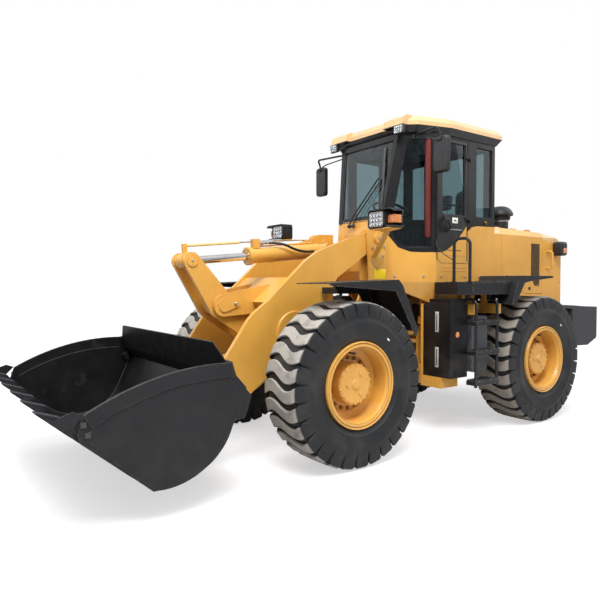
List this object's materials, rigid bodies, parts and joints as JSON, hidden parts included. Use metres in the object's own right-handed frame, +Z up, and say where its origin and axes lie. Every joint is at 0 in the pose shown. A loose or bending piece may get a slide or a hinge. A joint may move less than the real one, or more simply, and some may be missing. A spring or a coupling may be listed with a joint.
{
  "type": "wheel loader",
  "caption": "Articulated wheel loader with lifting boom, Z-bar bucket linkage, hollow cab, gull-wing hood doors and spinning wheels.",
  "frame": {"origin": "bottom centre of the whole machine, on the ground", "axes": "-Y towards the bucket, +X to the machine's left, +Z up"},
  "size_m": [2.3, 6.5856, 3.145],
  "materials": {
    "yellow": "satin paint",
    "pale_yellow": "satin paint",
    "roof": "moulded cap",
    "dark": "satin paint",
    "bucket_grey": "worn paint",
    "edge_steel": "worn",
    "casting": "as cast",
    "chrome": "polished",
    "pin_steel": "ground",
    "tyre": "worn",
    "glass": "tinted",
    "hose": "braid-covered rubber",
    "plastic": "moulded",
    "seat": "woven"
  },
  "bodies": {
    "chassis": {"rear_frame": "yellow", "rear_axle": "casting", "powertrain": "casting", "counterweight": "casting", "hood": "yellow", "rear_grille": "dark", "stacks": "plastic", "cab_base": "yellow", "cab_frame": "dark", "cab_glass": "glass", "cab_roof": "roof", "lamps": "plastic", "seat": "seat", "cab_fittings": "plastic", "mirrors": "plastic", "decks": "dark", "rear_fenders": "dark", "ladders": "dark", "side_boxes": "dark"},
    "front": {"front_frame": "yellow", "front_pins": "pin_steel", "front_axle": "casting", "front_fenders": "dark", "head_lamps": "dark"},
    "arm": {"boom": "yellow", "crank_pin": "pin_steel"},
    "bellcrank": {"bellcrank": "yellow"},
    "link": {"bucket_link": "yellow"},
    "bucket": {"bucket": "bucket_grey", "bucket_edge": "edge_steel", "bucket_pins": "pin_steel"},
    "lift_barrels": {"lift_barrels": "yellow"},
    "lift_rods": {"lift_rods": "chrome"},
    "tilt_barrel": {"tilt_barrel": "yellow", "tilt_hose": "hose"},
    "tilt_rod": {"tilt_rod": "chrome"},
    "door": {"cab_door": "yellow", "cab_door_glass": "glass"},
    "hood_door_left": {"hood_door_left": "yellow"},
    "hood_door_right": {"hood_door_right": "yellow"},
    "steer_barrel_left": {"steer_barrel_left": "yellow"},
    "steer_rod_left": {"steer_rod_left": "chrome"},
    "front_left_wheel": {"front_left_tyre": "tyre", "front_left_rim": "yellow"},
    "rear_left_wheel": {"rear_left_tyre": "tyre", "rear_left_rim": "yellow"},
    "steer_barrel_right": {"steer_barrel_right": "yellow"},
    "steer_rod_right": {"steer_rod_right": "chrome"},
    "front_right_wheel": {"front_right_tyre": "tyre", "front_right_rim": "yellow"},
    "rear_right_wheel": {"rear_right_tyre": "tyre", "rear_right_rim": "yellow"}
  },
  "joints": [
    {"name": "articulation", "type": "hinge", "parent": "chassis", "child": "front", "pos_m": [0, 0.4253, 0.7], "axis": [0, 0, -1], "range_deg": [-35, 35]},
    {"name": "boom_lift", "type": "hinge", "parent": "front", "child": "arm", "pos_m": [0, -0.0932, 1.923], "axis": [-1, 0, 0], "range_deg": [0, 84]},
    {"name": "bucket_tilt", "type": "hinge", "parent": "arm", "child": "bucket", "pos_m": [0, -1.9372, 0.4], "axis": [1, 0, 0], "range_deg": [-2, 135]},
    {"name": "bellcrank_pivot", "type": "hinge", "parent": "arm", "child": "bellcrank", "pos_m": [0, -1.6112, 1.304], "axis": [-1, 0, 0], "range_deg": [-1.93, 63.81]},
    {"name": "link_pivot", "type": "hinge", "parent": "bucket", "child": "link", "pos_m": [0, -1.7552, 0.762], "axis": [-1, 0, 0], "range_deg": [-2.68, 114.62]},
    {"name": "tilt_barrel_pivot", "type": "hinge", "parent": "front", "child": "tilt_barrel", "pos_m": [0, -0.3872, 1.82], "axis": [-1, 0, 0], "range_deg": [-1, 94.42]},
    {"name": "tilt_rod_slide", "type": "slide", "parent": "tilt_barrel", "child": "tilt_rod", "axis": [0, -0.9957, -0.0925], "range_m": [-0.1228, 0.0038]},
    {"name": "lift_barrel_pivot", "type": "hinge", "parent": "front", "child": "lift_barrels", "pos_m": [0, 0.1578, 1.1], "axis": [-1, 0, 0], "range_deg": [-1, 57.31]},
    {"name": "lift_rod_slide", "type": "slide", "parent": "lift_barrels", "child": "lift_rods", "axis": [0, -0.9995, -0.0329], "range_m": [-0.002, 0.8661]},
    {"name": "steer_barrel_left_pivot", "type": "hinge", "parent": "chassis", "child": "steer_barrel_left", "pos_m": [0.24, 0.9628, 0.72], "axis": [0, 0, 1], "range_deg": [-6.94, 6.94]},
    {"name": "steer_rod_left_slide", "type": "slide", "parent": "steer_barrel_left", "child": "steer_rod_left", "axis": [0, -1, 0], "range_m": [-0.1436, 0.1436]},
    {"name": "steer_barrel_right_pivot", "type": "hinge", "parent": "chassis", "child": "steer_barrel_right", "pos_m": [-0.24, 0.9628, 0.72], "axis": [0, 0, 1], "range_deg": [-6.94, 6.94]},
    {"name": "steer_rod_right_slide", "type": "slide", "parent": "steer_barrel_right", "child": "steer_rod_right", "axis": [0, -1, 0], "range_m": [-0.1436, 0.1436]},
    {"name": "front_left_wheel_spin", "type": "hinge", "parent": "front", "child": "front_left_wheel", "pos_m": [0.913, -0.8872, 0.675], "axis": [1, 0, 0], "continuous": true},
    {"name": "front_right_wheel_spin", "type": "hinge", "parent": "front", "child": "front_right_wheel", "pos_m": [-0.913, -0.8872, 0.675], "axis": [1, 0, 0], "continuous": true},
    {"name": "rear_left_wheel_spin", "type": "hinge", "parent": "chassis", "child": "rear_left_wheel", "pos_m": [0.913, 1.7378, 0.675], "axis": [1, 0, 0], "continuous": true},
    {"name": "rear_right_wheel_spin", "type": "hinge", "parent": "chassis", "child": "rear_right_wheel", "pos_m": [-0.913, 1.7378, 0.675], "axis": [1, 0, 0], "continuous": true},
    {"name": "cab_door_hinge", "type": "hinge", "parent": "chassis", "child": "door", "pos_m": [0.676, 1.0248, 2.3], "axis": [0, 0, 1], "range_deg": [0, 100]},
    {"name": "hood_door_left_hinge", "type": "hinge", "parent": "chassis", "child": "hood_door_left", "pos_m": [0.515, 2.0128, 2.124], "axis": [0, -1, 0], "range_deg": [0, 70]},
    {"name": "hood_door_right_hinge", "type": "hinge", "parent": "chassis", "child": "hood_door_right", "pos_m": [-0.515, 2.0128, 2.124], "axis": [0, 1, 0], "range_deg": [0, 70]}
  ],
  "couplings": [
    {"joint": "bellcrank_pivot", "follows": "bucket_tilt", "ratio": 0.46526},
    {"joint": "link_pivot", "follows": "bucket_tilt", "ratio": 0.84165},
    {"joint": "tilt_barrel_pivot", "follows": "boom_lift", "ratio": 1.1122},
    {"joint": "tilt_rod_slide", "follows": "bucket_tilt", "m_per_rad": -0.05125},
    {"joint": "lift_barrel_pivot", "follows": "boom_lift", "ratio": 0.67032},
    {"joint": "lift_rod_slide", "follows": "boom_lift", "m_per_rad": 0.5894},
    {"joint": "steer_barrel_left_pivot", "follows": "articulation", "ratio": -0.16965},
    {"joint": "steer_rod_left_slide", "follows": "articulation", "m_per_rad": 0.23172},
    {"joint": "steer_barrel_right_pivot", "follows": "articulation", "ratio": -0.16965},
    {"joint": "steer_rod_right_slide", "follows": "articulation", "m_per_rad": -0.23172}
  ]
}
